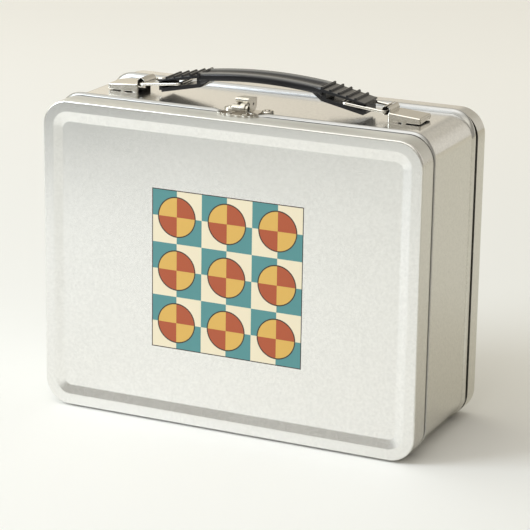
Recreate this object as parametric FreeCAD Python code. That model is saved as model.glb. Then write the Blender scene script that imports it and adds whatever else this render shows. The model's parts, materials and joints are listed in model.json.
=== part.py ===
import FreeCAD, Part
import math
import os

# Metal lunch box: a band with a fixed back panel, a front lid hinged along the bottom seam,
# a rising carrying handle on two wire bails, and a small claw latch on top.
# Millimetres, +Z up, front towards -Y. The origin is under the middle of the case, on its base.

# Case
case_width = 216.0
case_height = 169.3
case_depth = 90.1
corner_radius = 14.0
tin = 0.4                    # thickness of the case's sheet
lid_rim = 14.4               # depth of the lid's rim, front to back
back_rim = 14.0
seam_gap = 0.7               # open line between a rim and the band's bead
edge_round = 1.6             # rounding between a pan's face and its rim
border_width = 6.0           # flat frame round the sunken panel
slope_width = 5.2            # sloping step inside that frame
recess_depth = 1.1
band_inset = 1.0             # how far the band's skin lies below the rims
bead_width = 2.6
bead_drop = 0.1              # how far the bead's crown lies below the rims
bead_fullness = 0.9          # share of the bead's height that its rounding takes
lip_length = 4.4             # band's edge that tucks inside each rim
rear_joggle = 0.8            # where the rear lip steps out to the back panel's wall

# Lid hinges
hinge_offset = 56.0          # middle of the case to the middle of a hinge
hinge_length = 36.0
knuckle_count = 5
knuckle_radius = 0.8
knuckle_gap = 0.2
hinge_pin_radius = 0.4
running_clearance = 0.05
leaf_sheet = 0.35
leaf_reach = 9.0
leaf_clearance = 0.25        # knuckles to the notched edges round them
lid_sweep_room = 1.3         # bead cut back behind the hinge axis, so that the lid can swing down

# Rivets
rivet_radius = 0.9
rivet_head_radius = 1.5
rivet_head_height = 0.45
rivet_crown = 0.36           # rounding of a head
rivet_tail_radius = 1.2
rivet_tail_height = 0.3
hinge_rivet_spacing = 24.0
hinge_rivet_setback = 6.2

# Handle: one moulded grip with a fork at each end
handle_offset = 2.2          # handle's middle plane behind the middle of the case
grip_top = 15.8              # crowns of the grip above the rims
grip_arch_radius = 270.0
grip_thickness = 4.4
grip_width = 16.4
grip_crown = 6.2             # middle of the strap to each of its two crowns
grip_edge_round = 1.2
grip_groove = 1.5            # depth of the groove between the crowns
crown_turn = 40.0            # degrees that a crown turns down before the groove starts
pad_start = 35.0
pad_length = 25.0
pad_width = 17.3
pad_top_start = 12.8         # pad's top above the rims, at its inner and outer ends
pad_top_end = 7.5
pad_thick_start = 1.8        # pad's thickness at those ends
pad_thick_end = 0.75
fork_gap = 3.71              # cavity that the bail's crossbar slides in, measured at the crossbar
fork_plate = 2.1
fork_plate_length = 23.6
fork_end_wall = 2.2          # wall that closes the cavity under the pad's outer end
fork_root = 2.4              # solid block between pad and lower plate
gusset_reach = 5.5
rib_count = 5
rib_pitch = 4.7
rib_radius = 0.75
rib_rise = 0.35              # rib's axis above the pad's top
post_length = 3.4
post_width = 7.0

# Wire bails
wire_radius = 0.9
bail_length = 24.0           # pivot to crossbar
bail_width = 16.0            # leg to leg
bail_bend = 2.0
bail_joint_gap = 0.3         # butt joint of the wire, inside the tube
crossbar_inset = 12.0        # pad's inner end to the crossbar at rest
fork_clearance = 0.3         # crossbar to the lower plate, and legs to its edges
bail_travel = 4.6            # crossbar's slide along the fork when the handle rises

# Handle brackets
bracket_sheet = 0.7
bracket_length = 18.3
bracket_width = 15.6
bracket_top_inner = 3.9      # cap's top above the rims, inner and outer ends
bracket_top_outer = 2.5
bracket_round = 0.9
bracket_arch = 0.5           # open line under the cap's edges, and where it starts from the inner end
bracket_arch_end = 3.3
bracket_lift = 1.4           # open line under the outer end, at its rear corner
tube_radius = 2.5
tube_sheet = 0.45
tube_length = 13.0
tube_slot = 0.8
tube_clearance = 0.55        # wire above the bottom of the tube's bore
tube_rise = 0.6              # tube's axis above the cap's inner end
neck_length = 1.35           # tube's axis to the cap
tab_width = 2.4
tab_foot = 3.0
tab_clearance = 0.1

# Latch
latch_sheet = 0.6
keeper_width = 23.5
keeper_reach = 10.8          # front to back
keeper_setback = 12.65       # front face of the lid to the keeper's middle
keeper_height = 1.1
keeper_rim = 1.3
keeper_lobes = 16
keeper_lobe_radius = 1.5
keeper_rivet_spacing = 9.0
keeper_rivet_setback = 12.2
barrel_radius = 2.1
barrel_length = 9.0
barrel_setback = 16.6        # front face of the lid to the barrel's axis
base_width = 15.0
base_reach = 11.6
base_lobe_radius = 3.4
base_lobe_spacing = 21.0
base_lobe_height = 1.8       # embossed lobes that the rivets go through
base_lobe_round = 0.8
base_gap = 0.5               # keeper's rear edge to the base plate
lever_width = 7.5
lever_sheet = 0.7
lever_height = 8.6           # top of the lever above the base plate, at its front and rear ends
lever_rear_height = 7.4
lever_front = 4.6            # pivot to the lever's front and rear ends
lever_rear = 4.4
lever_side_gap = 0.3
pivot_height = 4.6
pivot_setback = 24.0         # front face of the lid to the pivot
pivot_radius = 0.75
pivot_bore = 0.5
ear_radius = 1.9
claw_width = 2.6
claw_offset = 1.8            # middle of the lever to the middle of the claw
claw_clearance = 0.3
claw_start = 45.0            # degrees round the barrel, from the rear over the top to the front
claw_end = 185.0
nose_radius = 1.5

# Places that follow from the sizes above
front_y = -case_depth / 2
back_y = case_depth / 2
lid_end = front_y + lid_rim
back_start = back_y - back_rim
bead_front = lid_end + seam_gap
bead_back = back_start - seam_gap
lip_front = bead_front - seam_gap - lip_length
skin_inner = band_inset + tin
deck_z = case_height - band_inset
deck_under = case_height - skin_inner
axis_y = lid_end + seam_gap / 2
axis_z = knuckle_radius
cut_margin = 1.0             # how far a cutting solid runs past what it cuts

Vec = FreeCAD.Vector


def box(x0, x1, y0, y1, z0, z1):
    return Part.makeBox(x1 - x0, y1 - y0, z1 - z0, Vec(x0, y0, z0))


def bar_x(radius, x0, x1, y, z):
    return Part.makeCylinder(radius, x1 - x0, Vec(x0, y, z), Vec(1, 0, 0))


def bar_y(radius, y0, y1, x, z):
    return Part.makeCylinder(radius, y1 - y0, Vec(x, y0, z), Vec(0, 1, 0))


def bar_z(radius, z0, z1, x, y):
    return Part.makeCylinder(radius, z1 - z0, Vec(x, y, z0), Vec(0, 0, 1))


def prism_xz(points, y0, y1):
    """Outline in the side plane, swept from y0 to y1."""
    corners = [Vec(x, y0, z) for x, z in points]
    face = Part.Face(Part.makePolygon(corners + corners[:1]))
    return face.extrude(Vec(0, y1 - y0, 0))


def mirror_x(shape):
    return shape.mirror(Vec(0, 0, 0), Vec(1, 0, 0))


def fuse_all(shapes):
    return shapes[0].fuse(shapes[1:]).removeSplitter()


def export(shape, node):
    shape.exportStep("parts/" + node + ".step")


def case_outline(inset, y):
    """Rounded rectangle of the case's front view, drawn inward by inset."""
    half = case_width / 2 - inset
    low = inset
    high = case_height - inset
    radius = corner_radius - inset
    mid = radius * (1 - math.sqrt(0.5))
    corners = []
    for sx, edge in ((1, low), (1, high), (-1, high), (-1, low)):
        inward = 1 if edge == low else -1
        along_z = Vec(sx * half, y, edge + inward * radius)
        along_x = Vec(sx * (half - radius), y, edge)
        middle = Vec(sx * (half - mid), y, edge + inward * mid)
        corners.append((along_x, middle, along_z) if sx * inward > 0 else (along_z, middle, along_x))
    edges = []
    for index, (start, middle, end) in enumerate(corners):
        edges.append(Part.Arc(start, middle, end).toShape())
        edges.append(Part.LineSegment(end, corners[(index + 1) % 4][0]).toShape())
    return Part.Wire(edges)


def case_block(inset, y0, y1):
    return Part.Face(case_outline(inset, y0)).extrude(Vec(0, y1 - y0, 0))


def case_ring(outer_inset, inner_inset, y0, y1):
    return case_block(outer_inset, y0, y1).cut(case_block(inner_inset, y0 - cut_margin, y1 + cut_margin))


def edges_at(block, y):
    """Edges of the loop that closes a case block at y."""
    same_plane = 1e-4
    found = []
    for edge in block.Edges:
        if all(abs(vertex.Y - y) < same_plane for vertex in edge.Vertexes):
            found.append(edge)
    return found


def panel_frustum(y, ahead):
    """Block inside the sunken panel's sloping step, started ahead of y."""
    spread = slope_width / recess_depth
    wide = case_outline(border_width - spread * ahead, y - ahead)
    narrow = case_outline(border_width + slope_width, y + recess_depth)
    return Part.makeLoft([wide, narrow], True, True)


def pressed_pan(rim):
    """Pan with its face at y = 0 and its rim towards +y."""
    shell = case_block(0, 0, rim)
    shell = shell.makeFillet(edge_round, edges_at(shell, 0))
    hollow = case_block(tin, tin, rim + cut_margin)
    hollow = hollow.makeFillet(edge_round - tin, edges_at(hollow, tin))
    pan = shell.cut(hollow).fuse(panel_frustum(tin, 0))
    return pan.cut(panel_frustum(0, tin))


def bead(y0, y1):
    """Rounded bead round the band's edge."""
    block = case_block(bead_drop, y0, y1)
    crown = min(band_inset - bead_drop, (y1 - y0) / 2) * bead_fullness
    block = block.makeFillet(crown, edges_at(block, y0) + edges_at(block, y1))
    return block.cut(case_block(skin_inner, y0 - cut_margin, y1 + cut_margin))


def hinge_spans(kind):
    """X spans of the knuckles, from the hinge's middle: kind 0 is the band's, kind 1 the lid's."""
    pitch = hinge_length / knuckle_count
    start = -hinge_length / 2
    spans = []
    for index in range(knuckle_count):
        if index % 2 == kind:
            low = start + index * pitch + knuckle_gap / 2
            spans.append((low, low + pitch - knuckle_gap))
    return spans


def hinge_leaf(middle, kind, direction, z0):
    """Leaf with curled knuckles; direction is the side of the axis that its plate lies on."""
    clear = knuckle_radius + leaf_clearance
    near, far = sorted((axis_y + direction * clear, axis_y + direction * leaf_reach))
    half = hinge_length / 2
    pieces = [box(middle - half, middle + half, near, far, z0, z0 + leaf_sheet)]
    for low, high in hinge_spans(kind):
        y0, y1 = sorted((axis_y, axis_y + direction * (clear + leaf_sheet)))
        pieces.append(box(middle + low, middle + high, y0, y1, z0, z0 + leaf_sheet))
        pieces.append(bar_x(knuckle_radius, middle + low, middle + high, axis_y, axis_z))
    leaf = fuse_all(pieces)
    bore = hinge_pin_radius + running_clearance
    return leaf.cut(bar_x(bore, middle - half, middle + half, axis_y, axis_z))


def rivet(x, y, seat_z, hold, up):
    """Rivet with its head on seat_z, facing up (1) or down (-1), through a stack of thickness hold."""
    tail_z = seat_z - up * hold
    head = bar_z(rivet_head_radius, *sorted((seat_z, seat_z + up * rivet_head_height)), x, y)
    crown = [edge for edge in head.Edges if abs(edge.CenterOfMass.z - seat_z) > rivet_head_height / 2]
    head = head.makeFillet(rivet_crown, crown[:1])
    shank = bar_z(rivet_radius, *sorted((seat_z, tail_z)), x, y)
    tail = bar_z(rivet_tail_radius, *sorted((tail_z, tail_z - up * rivet_tail_height)), x, y)
    return fuse_all([head, shank, tail])


def rivet_holes(places, z0, z1):
    return [bar_z(rivet_radius, z0, z1, x, y) for x, y in places]


hinge_middles = (-hinge_offset, hinge_offset)
hinge_rivet_y = axis_y + hinge_rivet_setback
hinge_rivet_places = []
for hinge_middle in hinge_middles:
    for side in (-1, 1):
        hinge_rivet_places.append((hinge_middle + side * hinge_rivet_spacing / 2, hinge_rivet_y))
keeper_y = front_y + keeper_setback
keeper_rivet_y = front_y + keeper_rivet_setback
keeper_rivet_places = [(side * keeper_rivet_spacing / 2, keeper_rivet_y) for side in (-1, 1)]
base_front = keeper_y + keeper_reach / 2 + base_gap
lever_y = front_y + pivot_setback
lever_z = deck_z + latch_sheet + pivot_height
barrel_y = front_y + barrel_setback
barrel_z = case_height + latch_sheet + barrel_radius
base_lobe_y = base_front + base_reach - base_lobe_radius
base_rivet_places = [(side * base_lobe_spacing / 2, base_lobe_y) for side in (-1, 1)]

# Bail and bracket places, on the right-hand side
pad_fall = (pad_top_start - pad_top_end) / pad_length
pad_taper = (pad_thick_start - pad_thick_end) / pad_length
crossbar_x = pad_start + crossbar_inset
fork_roof = pad_thick_start - pad_taper * crossbar_inset
fork_floor = fork_roof + fork_gap
crossbar_z = case_height + pad_top_start - pad_fall * crossbar_inset - fork_floor
crossbar_z += fork_clearance + wire_radius
bore_radius = tube_radius - tube_sheet
tube_z = case_height + bracket_top_inner + tube_rise
pivot_z = tube_z - bore_radius + tube_clearance + wire_radius
bail_rise = math.asin((crossbar_z - pivot_z) / bail_length)
pivot_x = crossbar_x + bail_length * math.cos(bail_rise)
cap_inner = pivot_x + neck_length
cap_outer = cap_inner + bracket_length
tab_x = (cap_inner + cap_outer) / 2
tab_sides = [handle_offset + side * (bracket_width - bracket_sheet) / 2 for side in (-1, 1)]


def front_lid():
    lid = pressed_pan(lid_rim)
    lid.translate(Vec(0, front_y, 0))
    clear = knuckle_radius + leaf_clearance
    half = hinge_length / 2 + leaf_clearance
    cuts = rivet_holes(keeper_rivet_places, case_height - cut_margin, case_height + cut_margin)
    for middle in hinge_middles:
        cuts.append(box(middle - half, middle + half, axis_y - clear, axis_y, -cut_margin, knuckle_radius))
    return lid.cut(cuts)


def back_panel():
    panel = pressed_pan(back_rim)
    panel.rotate(Vec(0, 0, 0), Vec(0, 0, 1), 180)
    panel.translate(Vec(0, back_y, 0))
    return panel


def body_band():
    lip_step = back_start + rear_joggle
    lip_end = lip_step + lip_length
    band = fuse_all([
        case_ring(band_inset, skin_inner, lip_front, lip_end),
        case_ring(tin, skin_inner, lip_step, lip_end),
        bead(bead_front, bead_front + bead_width),
        bead(bead_back - bead_width, bead_back),
    ])
    wide = case_width / 2 + cut_margin
    sweep = axis_y + lid_sweep_room
    cuts = [box(-wide, wide, bead_front - cut_margin, sweep, -cut_margin, band_inset)]
    clear = knuckle_radius + leaf_clearance
    half = hinge_length / 2 + leaf_clearance
    past_lip = lip_front - cut_margin
    past_bead = bead_front + bead_width
    for middle in hinge_middles:
        low, high = middle - half, middle + half
        cuts.append(box(low, high, past_lip, axis_y + clear, -cut_margin, skin_inner + cut_margin))
        cuts.append(box(low, high, axis_y, past_bead, -cut_margin, band_inset))
    cuts += rivet_holes(hinge_rivet_places, 0, skin_inner + cut_margin)
    cuts += rivet_holes(base_rivet_places, deck_under - cut_margin, deck_z + cut_margin)
    half_tab = tab_width / 2 + tab_clearance
    half_slot = bracket_sheet / 2 + tab_clearance
    for side in (-1, 1):
        for y in tab_sides:
            x = side * tab_x
            cuts.append(box(x - half_tab, x + half_tab, y - half_slot, y + half_slot,
                            deck_under - cut_margin, deck_z + cut_margin))
    return band.cut(cuts)


def right_bracket():
    """Folded cap held by two tabs bent over inside the band. Its inner end is open below a rolled tube."""
    low = handle_offset - bracket_width / 2
    high = handle_offset + bracket_width / 2
    top_in = case_height + bracket_top_inner
    top_out = case_height + bracket_top_outer
    outline = [(cap_inner, deck_z), (cap_outer, deck_z), (cap_outer, top_out), (cap_inner, top_in)]
    cap = prism_xz(outline, low, high)
    upper = [edge for edge in cap.Edges if edge.CenterOfMass.z > deck_z + bracket_round / 2]
    cap = cap.makeFillet(bracket_round, upper)
    inside = [
        (cap_inner - cut_margin, deck_z - cut_margin),
        (cap_outer - bracket_sheet, deck_z - cut_margin),
        (cap_outer - bracket_sheet, top_out - bracket_sheet),
        (cap_inner - cut_margin, top_in - bracket_sheet),
    ]
    cap = cap.cut(prism_xz(inside, low + bracket_sheet, high - bracket_sheet))
    arch_low = cap_inner + bracket_arch_end
    arch_high = cap_outer + cut_margin
    arch_top = deck_z + bracket_arch
    past_low, past_high = low - cut_margin, high + cut_margin
    arches = [
        box(arch_low, tab_x - tab_width / 2, past_low, past_high, deck_z, arch_top),
        box(tab_x + tab_width / 2, arch_high, past_low, past_high, deck_z, arch_top),
    ]
    wall = cap_outer - bracket_sheet
    lifted = [Vec(wall, low, arch_top), Vec(wall, high, arch_top), Vec(wall, high, deck_z + bracket_lift)]
    lifted = Part.Face(Part.makePolygon(lifted + lifted[:1]))
    arches.append(lifted.extrude(Vec(arch_high - wall, 0, 0)))
    pieces = [cap.cut(arches)]
    tube_low = handle_offset - tube_length / 2
    tube_high = handle_offset + tube_length / 2
    pieces.append(bar_y(tube_radius, tube_low, tube_high, pivot_x, tube_z))
    pieces.append(box(pivot_x, cap_inner + bracket_sheet + bracket_round, tube_low, tube_high,
                      top_in - 2 * bracket_sheet, top_in - bracket_sheet / 2))
    for y in tab_sides:
        half = bracket_sheet / 2
        inward = 1 if y < handle_offset else -1
        foot_low, foot_high = sorted((y - inward * half, y + inward * (half + tab_foot)))
        left, right = tab_x - tab_width / 2, tab_x + tab_width / 2
        foot_z = deck_under - bracket_sheet
        pieces.append(box(left, right, y - half, y + half, foot_z, deck_z + bracket_sheet))
        pieces.append(box(left, right, foot_low, foot_high, foot_z, deck_under))
    bracket = fuse_all(pieces)
    slot_z = tube_z + bore_radius / 2
    slot = box(pivot_x, pivot_x + tube_slot, tube_low, tube_high, slot_z, tube_z + tube_radius)
    return bracket.cut([bar_y(bore_radius, tube_low, tube_high, pivot_x, tube_z), slot])


def right_bail():
    """Wire bent to a closed loop, its ends meeting inside the bracket's tube."""
    reach = Vec(-math.cos(bail_rise), 0, math.sin(bail_rise))
    start = Vec(pivot_x, handle_offset, pivot_z)

    def at(along, across):
        return start + reach * along + Vec(0, across, 0)

    half = bail_width / 2
    bend = bail_bend
    mid = bend * (1 - math.sqrt(0.5))
    gap = bail_joint_gap / 2
    end = bail_length
    edges = [Part.LineSegment(at(0, gap), at(0, half - bend)).toShape()]
    edges.append(Part.Arc(at(0, half - bend), at(mid, half - mid), at(bend, half)).toShape())
    edges.append(Part.LineSegment(at(bend, half), at(end - bend, half)).toShape())
    edges.append(Part.Arc(at(end - bend, half), at(end - mid, half - mid), at(end, half - bend)).toShape())
    edges.append(Part.LineSegment(at(end, half - bend), at(end, bend - half)).toShape())
    edges.append(Part.Arc(at(end, bend - half), at(end - mid, mid - half), at(end - bend, -half)).toShape())
    edges.append(Part.LineSegment(at(end - bend, -half), at(bend, -half)).toShape())
    edges.append(Part.Arc(at(bend, -half), at(mid, mid - half), at(0, bend - half)).toShape())
    edges.append(Part.LineSegment(at(0, bend - half), at(0, -gap)).toShape())
    section = Part.Wire(Part.Circle(at(0, gap), Vec(0, 1, 0), wire_radius).toShape())
    return Part.Wire(edges).makePipeShell([section], True, False)


def grip_strap():
    """Arched strap between the pads, with a groove along its top."""
    half = grip_width / 2
    top = case_height + grip_top
    low = top - grip_thickness
    crown_radius = half - grip_crown
    round_mid = grip_edge_round * (1 - math.sqrt(0.5))

    def at(y, z):
        return Vec(0, handle_offset + y, z)

    def on_crown(side, degrees):
        """Point of a crown's round, at degrees from its top towards the strap's outer side."""
        turn = math.radians(degrees)
        across = grip_crown + crown_radius * math.sin(turn)
        return at(side * across, top - crown_radius * (1 - math.cos(turn)))

    edges = [Part.LineSegment(at(grip_edge_round - half, low), at(half - grip_edge_round, low)).toShape()]
    edges.append(Part.Arc(at(half - grip_edge_round, low), at(half - round_mid, low + round_mid),
                          at(half, low + grip_edge_round)).toShape())
    edges.append(Part.LineSegment(at(half, low + grip_edge_round), on_crown(1, 90)).toShape())
    turns = (90, 45, 0, -crown_turn / 2, -crown_turn)
    front, rear = ([on_crown(side, degrees) for degrees in turns] for side in (-1, 1))
    edges.append(Part.Arc(rear[0], rear[1], rear[2]).toShape())
    edges.append(Part.Arc(rear[2], rear[3], rear[4]).toShape())
    edges.append(Part.Arc(rear[4], at(0, top - grip_groove), front[4]).toShape())
    edges.append(Part.Arc(front[4], front[3], front[2]).toShape())
    edges.append(Part.Arc(front[2], front[1], front[0]).toShape())
    edges.append(Part.LineSegment(front[0], at(-half, low + grip_edge_round)).toShape())
    edges.append(Part.Arc(at(-half, low + grip_edge_round), at(round_mid - half, low + round_mid),
                          at(grip_edge_round - half, low)).toShape())
    section = Part.Face(Part.Wire(edges))
    swing = math.degrees(math.asin((pad_start + fork_root / 2) / grip_arch_radius))
    centre = Vec(0, handle_offset, top - grip_arch_radius)
    section.rotate(centre, Vec(0, 1, 0), -swing)
    return section.revolve(centre, Vec(0, 1, 0), 2 * swing)


def right_fork():
    """Ribbed pad over a cavity open at its sides, with a plate below it and a post that holds the bail."""
    start, end = pad_start, pad_start + pad_length
    plate_end = start + fork_plate_length
    top = case_height + pad_top_start

    def line(x, below):
        return (x, top - pad_fall * (x - start) - below)

    def across(outline, width):
        return prism_xz(outline, handle_offset - width / 2, handle_offset + width / 2)

    def slab(x0, x1, upper, lower, width):
        return across([line(x0, lower), line(x1, lower), line(x1, upper), line(x0, upper)], width)

    under = fork_floor + fork_plate
    plate_width = bail_width - 2 * (wire_radius + fork_clearance)
    pad = [line(start, pad_thick_start), line(end, pad_thick_end), line(end, 0), line(start, 0)]
    pieces = [across(pad, pad_width)]
    pieces.append(slab(start, plate_end, fork_floor, under, plate_width))
    pieces.append(slab(start, start + fork_root, 0, under, plate_width))
    pieces.append(slab(end - fork_end_wall, end, 0, fork_floor + fork_plate / 2, plate_width))
    post_start = crossbar_x + bail_travel + wire_radius + fork_clearance
    pieces.append(slab(post_start, post_start + post_length, 0, under, post_width))
    gusset_x = start - gusset_reach
    arch_fall = grip_arch_radius - math.sqrt(grip_arch_radius ** 2 - gusset_x ** 2)
    strap_low = case_height + grip_top - grip_thickness - arch_fall
    gusset = [(gusset_x, strap_low), line(start, under), line(start, 0), (gusset_x, strap_low + fork_plate)]
    pieces.append(across(gusset, grip_width - 2 * grip_edge_round))
    rib_ends = (handle_offset - pad_width / 2, handle_offset + pad_width / 2)
    for index in range(rib_count):
        x, z = line(start + rib_radius + index * rib_pitch, 0)
        pieces.append(bar_y(rib_radius, *rib_ends, x, z + rib_rise))
    return fuse_all(pieces)


def handle_grip():
    fork = right_fork()
    return fuse_all([grip_strap(), fork, mirror_x(fork)])


def latch_keeper():
    """Scalloped dish on the lid's rim with a rolled barrel that the claw goes over."""
    z0 = case_height
    z1 = z0 + keeper_height
    wide, deep = keeper_width / 2, keeper_reach / 2
    floor_z = z0 + latch_sheet

    def oval(shrink, low, high):
        curve = Part.Ellipse(Vec(0, keeper_y, low), wide - shrink, deep - shrink)
        return Part.Face(Part.Wire(curve.toShape())).extrude(Vec(0, 0, high - low))

    pieces = [oval(keeper_lobe_radius / 2, z0, z1)]
    for index in range(keeper_lobes):
        turn = 2 * math.pi * (index + 0.5) / keeper_lobes
        x = (wide - keeper_lobe_radius) * math.cos(turn)
        y = keeper_y + (deep - keeper_lobe_radius) * math.sin(turn)
        pieces.append(bar_z(keeper_lobe_radius, z0, z1, x, y))
    dish = fuse_all(pieces).cut(oval(keeper_lobe_radius / 2 + keeper_rim, floor_z, z1 + cut_margin))
    half = barrel_length / 2
    barrel = bar_x(barrel_radius, -half, half, barrel_y, barrel_z)
    foot = box(-half, half, barrel_y - barrel_radius, barrel_y, floor_z - latch_sheet / 2, barrel_z)
    barrel = barrel.fuse(foot).cut(bar_x(barrel_radius - latch_sheet, -half, half, barrel_y, barrel_z))
    holes = rivet_holes(keeper_rivet_places, z0 - cut_margin, z1 + cut_margin)
    return fuse_all([dish, barrel]).cut(holes)


def latch_base():
    """Plate with rounded lobes on the band and two ears for the lever's pivot."""
    z0, z1 = deck_z, deck_z + latch_sheet
    half = base_width / 2
    pieces = [box(-half, half, base_front, base_front + base_reach, z0, z1)]
    for x, y in base_rivet_places:
        lobe = bar_z(base_lobe_radius, z0, z0 + base_lobe_height, x, y)
        crown = [edge for edge in lobe.Edges if edge.CenterOfMass.z > z0 + base_lobe_round]
        pieces.append(lobe.makeFillet(base_lobe_round, crown[:1]))
    inner = lever_width / 2 - lever_sheet - lever_side_gap
    for side in (-1, 1):
        x0, x1 = sorted((side * inner, side * (inner - lever_sheet)))
        pieces.append(box(x0, x1, lever_y - ear_radius, lever_y + ear_radius, z0, lever_z))
        pieces.append(bar_x(ear_radius, x0, x1, lever_y, lever_z))
    base = fuse_all(pieces)
    holes = rivet_holes(base_rivet_places, z0 - cut_margin, z0 + base_lobe_height + cut_margin)
    holes.append(bar_x(pivot_radius, -half, half, lever_y, lever_z))
    return base.cut(holes)


def latch_pin():
    half = lever_width / 2
    pin = bar_x(pivot_radius, -half, half, lever_y, lever_z)
    return pin.cut(bar_x(pivot_bore, -half, half, lever_y, lever_z))


def latch_lever():
    """U-shaped lever on the pivot, with a rolled nose and a claw over the keeper's barrel."""
    top = deck_z + latch_sheet + lever_height
    low = lever_z - lever_rear
    front, rear = lever_y - lever_front, lever_y + lever_rear
    half = lever_width / 2
    toe_swing = math.hypot(lever_y - barrel_y, lever_z - barrel_z) - barrel_radius - claw_clearance
    rear_top = deck_z + latch_sheet + lever_rear_height
    corners = ((front, low), (rear, low), (rear, rear_top), (front, top))
    cheek = [Vec(-half, y, z) for y, z in corners]
    block = Part.Face(Part.makePolygon(cheek + cheek[:1])).extrude(Vec(lever_width, 0, 0))
    heel = box(-half, half, lever_y, rear, low, lever_z)
    heel = heel.cut(bar_x(lever_rear, -half, half, lever_y, lever_z))
    toe = box(-half, half, front, lever_y, low, lever_z)
    toe = toe.cut(bar_x(toe_swing, -half, half, lever_y, lever_z))
    inner = half - lever_sheet
    roof = rear_top - lever_sheet
    room = box(-inner, inner, front - cut_margin, rear + cut_margin, low - cut_margin, roof)
    rise = [Vec(-inner, front, roof), Vec(-inner, rear, roof), Vec(-inner, front, top - lever_sheet)]
    rise = Part.Face(Part.makePolygon(rise + rise[:1])).extrude(Vec(2 * inner, 0, 0))
    pieces = [block.cut([heel, toe, room, rise])]
    pieces.append(bar_x(nose_radius, -half, half, front, top - nose_radius))
    inside = barrel_radius + claw_clearance
    outside = inside + lever_sheet
    claw_low = claw_offset - claw_width / 2
    claw_high = claw_offset + claw_width / 2
    claw = bar_x(outside, claw_low, claw_high, barrel_y, barrel_z)
    claw = claw.cut(bar_x(inside, claw_low, claw_high, barrel_y, barrel_z))
    wedge = [Vec(-half, barrel_y, barrel_z)]
    steps = 6
    for index in range(steps + 1):
        turn = math.radians(claw_start + (claw_end - claw_start) * index / steps)
        reach = 2 * outside
        wedge.append(Vec(-half, barrel_y + reach * math.cos(turn), barrel_z + reach * math.sin(turn)))
    sector = Part.Face(Part.makePolygon(wedge + wedge[:1])).extrude(Vec(lever_width, 0, 0))
    pieces.append(claw.common(sector))
    turn = math.radians(claw_start)
    radial = Vec(0, math.cos(turn), math.sin(turn))
    barrel_side = Vec(claw_low, barrel_y, barrel_z)
    root_in = barrel_side + radial * inside
    root_out = barrel_side + radial * outside
    nose_back = Vec(claw_low, front, top - nose_radius)
    nose_front = Vec(claw_low, front - nose_radius, top - nose_radius)
    strap = Part.Face(Part.makePolygon([root_in, root_out, nose_back, nose_front, root_in]))
    pieces.append(strap.extrude(Vec(claw_width, 0, 0)))
    lever = fuse_all(pieces)
    return lever.cut(bar_x(pivot_radius + running_clearance, -half, half, lever_y, lever_z))


os.makedirs("parts", exist_ok=True)

export(body_band(), "body_band")
export(back_panel(), "back_panel")
export(front_lid(), "front_lid")

hinge_rivet_seat = band_inset - leaf_sheet
hinge_rivet_hold = leaf_sheet + tin
for hinge_middle, hinge_side in zip(hinge_middles, ("left", "right")):
    body_leaf = hinge_leaf(hinge_middle, 0, 1, band_inset - leaf_sheet)
    body_leaf = body_leaf.cut(rivet_holes(hinge_rivet_places, 0, skin_inner))
    export(body_leaf, "hinge_body_leaf_" + hinge_side)
    export(hinge_leaf(hinge_middle, 1, -1, tin), "hinge_lid_leaf_" + hinge_side)
    half_pin = hinge_length / 2
    hinge_pin = bar_x(hinge_pin_radius, hinge_middle - half_pin, hinge_middle + half_pin, axis_y, axis_z)
    export(hinge_pin, "hinge_pin_" + hinge_side)
hinge_rivets = [rivet(x, y, hinge_rivet_seat, hinge_rivet_hold, -1) for x, y in hinge_rivet_places]
export(Part.makeCompound(hinge_rivets), "hinge_rivets")

bracket_shape = right_bracket()
export(bracket_shape, "handle_bracket_right")
export(mirror_x(bracket_shape), "handle_bracket_left")
bail_shape = right_bail()
export(bail_shape, "bail_right")
export(mirror_x(bail_shape), "bail_left")
export(handle_grip(), "handle_grip")

export(latch_keeper(), "latch_keeper")
export(latch_base(), "latch_base")
export(latch_lever(), "latch_lever")
export(latch_pin(), "latch_pin")
keeper_seat = case_height + latch_sheet
keeper_rivets = [rivet(x, y, keeper_seat, latch_sheet + tin, 1) for x, y in keeper_rivet_places]
export(Part.makeCompound(keeper_rivets), "latch_keeper_rivets")
base_seat = deck_z + base_lobe_height
base_rivets = [rivet(x, y, base_seat, base_lobe_height + tin, 1) for x, y in base_rivet_places]
export(Part.makeCompound(base_rivets), "latch_base_rivets")
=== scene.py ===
import json
import math

import bmesh
import bpy
from mathutils import Matrix, Vector


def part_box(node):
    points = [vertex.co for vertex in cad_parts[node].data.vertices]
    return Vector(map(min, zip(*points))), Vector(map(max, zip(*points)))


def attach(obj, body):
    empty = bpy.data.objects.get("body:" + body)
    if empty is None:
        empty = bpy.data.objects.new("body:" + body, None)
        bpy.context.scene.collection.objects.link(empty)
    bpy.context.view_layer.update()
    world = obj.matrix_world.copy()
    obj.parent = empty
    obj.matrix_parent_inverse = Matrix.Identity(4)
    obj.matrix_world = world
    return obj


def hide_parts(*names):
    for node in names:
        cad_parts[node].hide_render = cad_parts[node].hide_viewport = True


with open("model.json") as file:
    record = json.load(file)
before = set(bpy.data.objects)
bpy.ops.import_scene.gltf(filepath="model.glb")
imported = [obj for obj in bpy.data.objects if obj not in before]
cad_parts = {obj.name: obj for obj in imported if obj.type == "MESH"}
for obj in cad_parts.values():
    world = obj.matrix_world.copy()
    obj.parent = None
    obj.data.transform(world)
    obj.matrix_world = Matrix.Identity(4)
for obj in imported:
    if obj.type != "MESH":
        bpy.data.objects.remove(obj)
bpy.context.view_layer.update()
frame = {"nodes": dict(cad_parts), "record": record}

# Metal lunch box. Sizes are in millimetres; meshes are turned into metres when they are made.
MM = 0.001


def node_box(node):
    low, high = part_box(node)
    return low / MM, high / MM


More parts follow.
